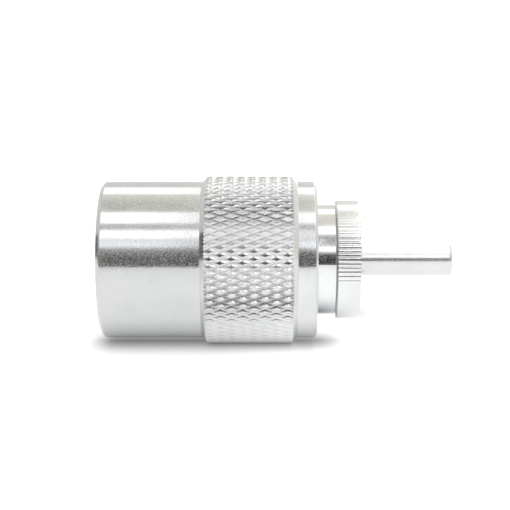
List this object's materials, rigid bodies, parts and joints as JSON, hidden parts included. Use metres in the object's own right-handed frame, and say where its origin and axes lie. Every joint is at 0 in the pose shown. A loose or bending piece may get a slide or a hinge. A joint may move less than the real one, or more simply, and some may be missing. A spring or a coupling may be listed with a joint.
{
  "type": "uhf cable connector",
  "caption": "Cable-mounted UHF plug: a diamond-knurled coupling ring turns freely on a metal body with a toothed, serrated flange and a hollow centre pin.",
  "frame": {"origin": "centre of the coupling ring's rear face, on the plug's axis, where the plug stands", "axes": "+Z along the plug from its cable end to the pin's tip, +X and -X through the two locating teeth of the flange"},
  "size_m": [0.0204, 0.0204, 0.0428],
  "materials": {
    "satin_nickel": "satin nickel plate over turned brass",
    "body_nickel": "smooth nickel plate over turned brass",
    "bright_nickel": "bright nickel plate",
    "ivory_insulator": "matt ivory moulding"
  },
  "bodies": {
    "plug": {"plug_body": "body_nickel", "insulator": "ivory_insulator", "centre_pin": "bright_nickel"},
    "coupling": {"coupling_ring": "satin_nickel"}
  },
  "joints": [
    {"name": "coupling_spin", "type": "hinge", "parent": "plug", "child": "coupling", "pos_m": [0, 0, 0.013], "axis": [0, 0, 1], "continuous": true}
  ]
}
